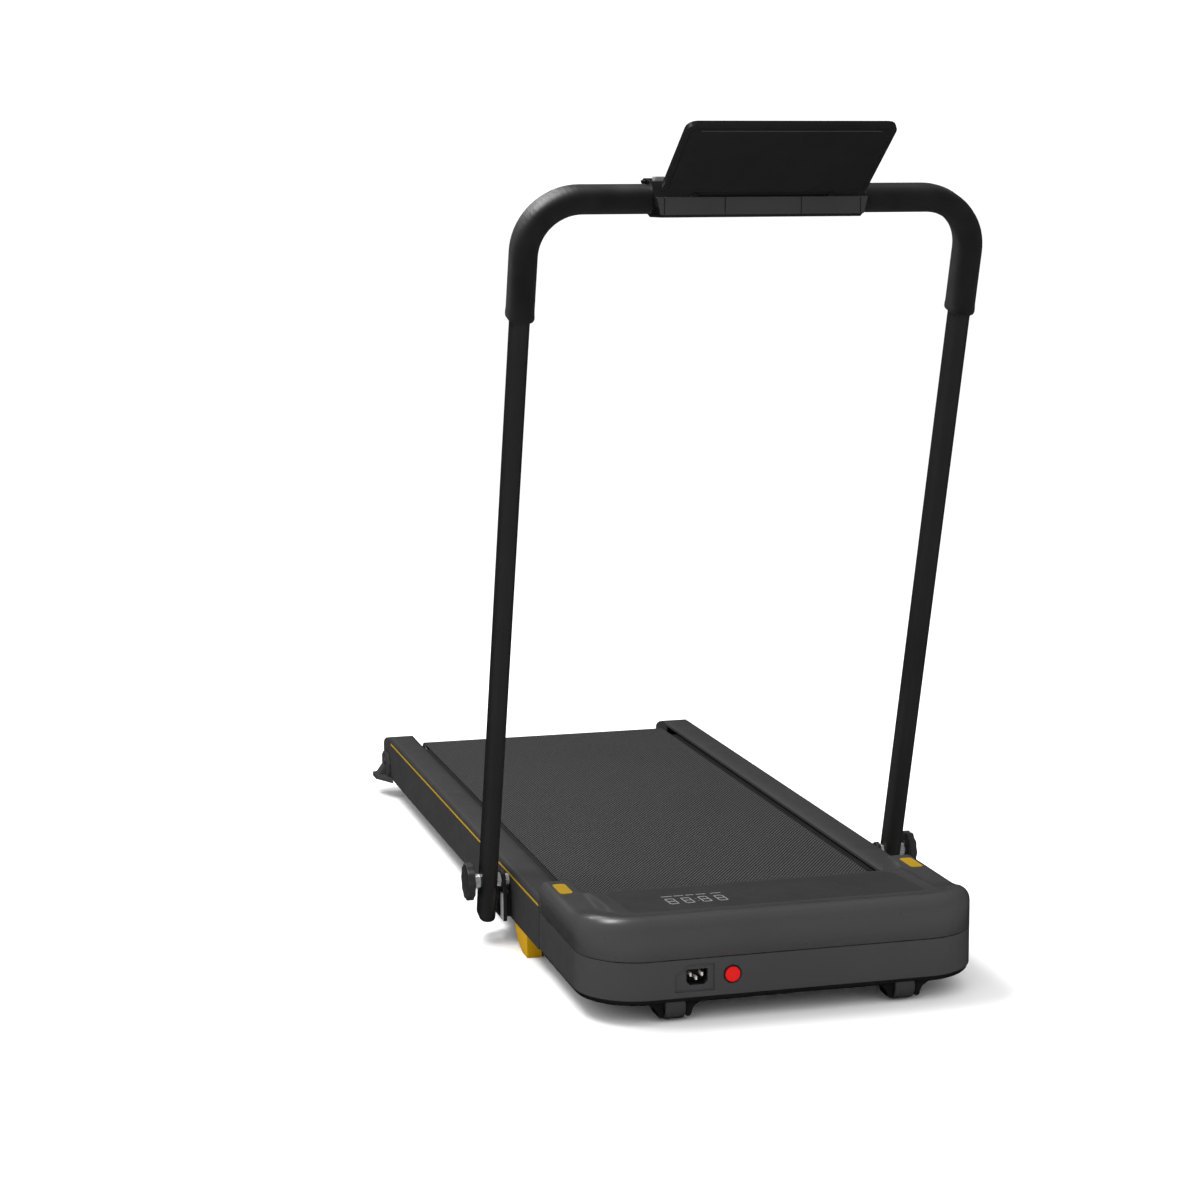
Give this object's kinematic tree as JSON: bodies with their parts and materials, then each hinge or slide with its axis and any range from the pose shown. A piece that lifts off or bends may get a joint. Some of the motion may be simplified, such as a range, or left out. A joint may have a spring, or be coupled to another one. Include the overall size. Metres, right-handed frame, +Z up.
{
  "type": "folding walking treadmill",
  "caption": "Low walking treadmill with a front hood, running belt between side rails, folding handrail frame, console, tilting tablet plate and clamp knobs.",
  "frame": {"origin": "centre of the footprint on the floor, under the middle of the overall length and width", "axes": "+Z up; +Y from the hood to the back end of the deck; +X to the left of a walker who faces the hood"},
  "size_m": [0.6178, 1.2898, 1.0403],
  "materials": {
    "shell": "fine moulded texture",
    "gloss": "polished",
    "pan": "fine moulded texture",
    "console": "satin",
    "yellow": "satin",
    "foot": "matt moulded",
    "rail": "fine moulded texture",
    "wheel": "matt",
    "rubber": "matt moulded",
    "foam": "closed-cell foam skin",
    "knob": "fine moulded texture",
    "belt": "diamond-textured PVC on fabric",
    "board": "waxed, dark coated fibreboard",
    "tube": "semi-gloss powder coat",
    "frame": "matt powder coat",
    "steel": "zinc plated",
    "chrome": "polished",
    "brass": "machined",
    "motor": "satin grey",
    "circuit": "coated board",
    "red": "polished"
  },
  "bodies": {
    "base": {"hood_cover": "shell", "display_panel": "gloss", "shoulder_insert_left": "yellow", "shoulder_insert_right": "yellow", "lower_shell": "shell", "bottom_pan": "pan", "wheel_pin_left": "steel", "wheel_pin_right": "steel", "power_inlet": "pan", "inlet_blade_line": "brass", "inlet_blade_neutral": "brass", "inlet_blade_earth": "brass", "button_bezel": "pan", "side_rail_left": "rail", "side_rail_right": "rail", "rail_stripe_left": "yellow", "rail_stripe_right": "yellow", "rail_end_cap_left": "pan", "rail_end_cap_right": "pan", "adjuster_bolt_left": "steel", "adjuster_bolt_right": "steel", "storage_foot_left": "rail", "storage_foot_right": "rail", "front_foot_left": "foot", "front_foot_right": "foot", "frame_tube_left": "frame", "frame_tube_right": "frame", "cross_tube_middle": "frame", "cross_tube_rear": "frame", "rear_foot_left": "rubber", "rear_foot_right": "rubber", "deck_board": "board", "running_belt": "belt", "front_axle": "steel", "rear_axle": "steel", "drive_motor": "motor", "drive_belt": "rubber", "motor_tray": "frame", "control_board": "circuit", "pivot_bracket_left": "frame", "pivot_bracket_right": "frame"},
    "handrail": {"handrail_tube": "tube", "grip_sleeve_left": "foam", "grip_sleeve_right": "foam", "post_end_left": "rubber", "post_end_right": "rubber", "console_front": "console", "console_back": "console"},
    "tablet_holder": {"tablet_plate": "gloss"},
    "start_key": {"console_key": "rubber"},
    "knob_left": {"pivot_knob_left": "knob", "pivot_stud_left": "chrome"},
    "knob_right": {"pivot_knob_right": "knob", "pivot_stud_right": "chrome"},
    "wheel_left": {"transport_wheel_left": "wheel"},
    "wheel_right": {"transport_wheel_right": "wheel"},
    "roller_front": {"front_roller": "steel"},
    "roller_rear": {"rear_roller": "steel"},
    "drive_pulley": {"motor_pulley": "steel"},
    "power_button": {"red_button": "red"}
  },
  "joints": [
    {"name": "handrail_fold", "type": "hinge", "parent": "base", "child": "handrail", "pos_m": [0, -0.242, 0.079], "axis": [-1, 0, 0], "range_deg": [0, 102.5]},
    {"name": "tablet_tilt", "type": "hinge", "parent": "handrail", "child": "tablet_holder", "pos_m": [0, -0.51348, 0.95905], "axis": [1, 0, 0], "range_deg": [-40, 30]},
    {"name": "start_key_press", "type": "slide", "parent": "handrail", "child": "start_key", "axis": [0, 0, -1], "range_m": [0, 0.0015], "stiffness_N_per_m": 300},
    {"name": "knob_left_turn", "type": "hinge", "parent": "base", "child": "knob_left", "pos_m": [0.3, -0.242, 0.079], "axis": [1, 0, 0], "range_deg": [0, 360]},
    {"name": "knob_right_turn", "type": "hinge", "parent": "base", "child": "knob_right", "pos_m": [-0.3, -0.242, 0.079], "axis": [-1, 0, 0], "range_deg": [0, 360]},
    {"name": "wheel_left_spin", "type": "hinge", "parent": "base", "child": "wheel_left", "pos_m": [0.1435, -0.6221, 0.019], "axis": [1, 0, 0], "continuous": true},
    {"name": "wheel_right_spin", "type": "hinge", "parent": "base", "child": "wheel_right", "pos_m": [-0.1435, -0.6221, 0.019], "axis": [1, 0, 0], "continuous": true},
    {"name": "front_roller_spin", "type": "hinge", "parent": "base", "child": "roller_front", "pos_m": [0, -0.4361, 0.0644], "axis": [1, 0, 0], "continuous": true},
    {"name": "rear_roller_spin", "type": "hinge", "parent": "base", "child": "roller_rear", "pos_m": [0, 0.5679, 0.0644], "axis": [1, 0, 0], "continuous": true},
    {"name": "motor_pulley_spin", "type": "hinge", "parent": "base", "child": "drive_pulley", "pos_m": [-0.17, -0.5371, 0.078], "axis": [1, 0, 0], "continuous": true},
    {"name": "power_button_press", "type": "slide", "parent": "base", "child": "power_button", "axis": [0, 1, 0], "range_m": [0, 0.002], "stiffness_N_per_m": 400}
  ],
  "couplings": [
    {"joint": "rear_roller_spin", "follows": "front_roller_spin", "ratio": 1},
    {"joint": "motor_pulley_spin", "follows": "front_roller_spin", "ratio": 2.4545}
  ]
}
